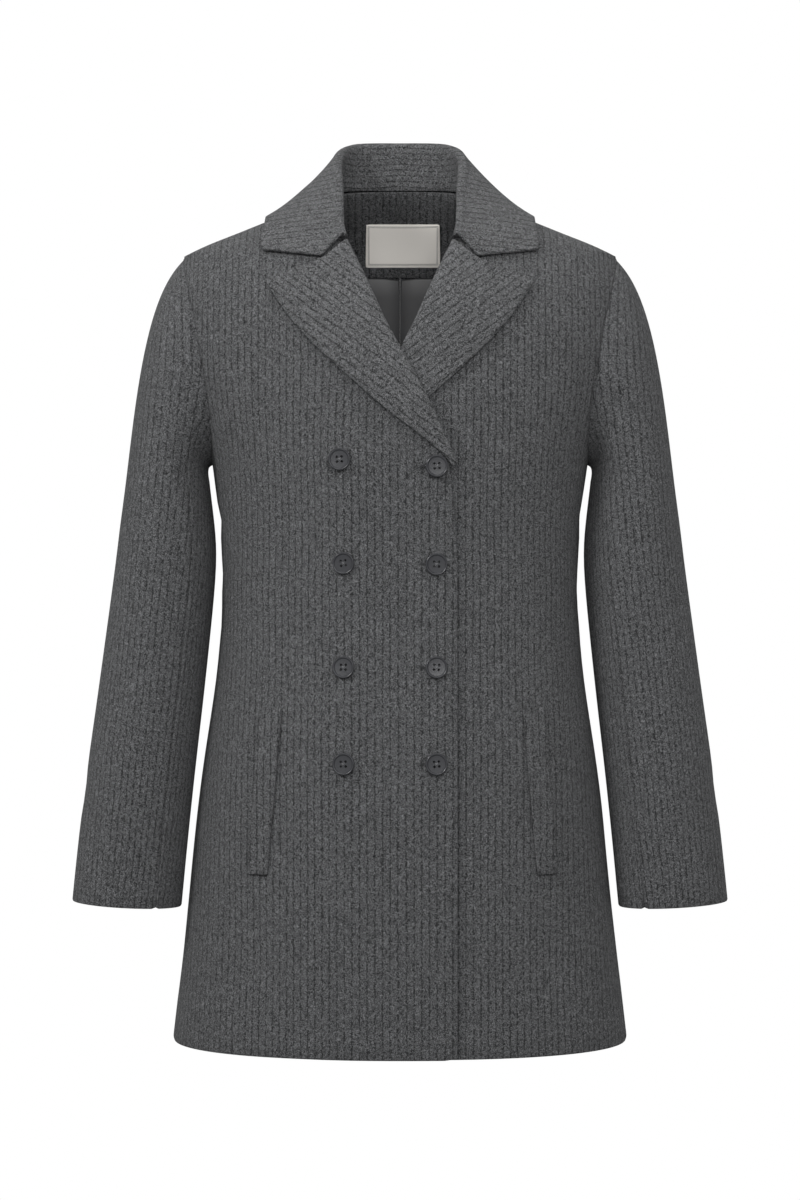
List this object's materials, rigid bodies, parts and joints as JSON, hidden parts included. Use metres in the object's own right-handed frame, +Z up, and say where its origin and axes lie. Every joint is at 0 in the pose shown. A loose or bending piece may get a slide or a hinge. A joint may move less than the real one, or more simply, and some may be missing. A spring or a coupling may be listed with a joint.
{
  "type": "double-breasted blazer coat",
  "caption": "Double-breasted grey wool blazer coat with notch lapels, slanted welt pockets, dark lining and four-hole buttons, filled out as worn.",
  "frame": {"origin": "middle of the base of the neck, between the two shoulder-neck points, where the wearer's shoulders carry the coat", "axes": "+Z up, front toward -Y, the wearer's right toward -X"},
  "size_m": [0.6228, 0.2639, 0.87],
  "materials": {
    "wool": "matte napped wool with vertical ribs",
    "turned_wool": "matte napped wool, ribs turned with the cut",
    "satin": "soft satin",
    "ribbon": "woven ribbon",
    "button": "semi-gloss"
  },
  "bodies": {
    "root": {"front_right": "wool", "front_left": "wool", "back_right": "wool", "back_left": "wool", "sleeve_upper_right": "wool", "sleeve_upper_left": "wool", "sleeve_under_right": "wool", "sleeve_under_left": "wool", "welt_right": "wool", "welt_left": "wool", "back_neck_facing": "wool", "collar": "turned_wool", "lapel_right": "turned_wool", "lapel_left": "turned_wool", "lining_right": "satin", "lining_left": "satin", "label": "ribbon", "button_1": "button", "button_2": "button", "button_3": "button", "button_4": "button", "button_5": "button", "button_6": "button", "button_7": "button", "button_8": "button"}
  },
  "joints": []
}
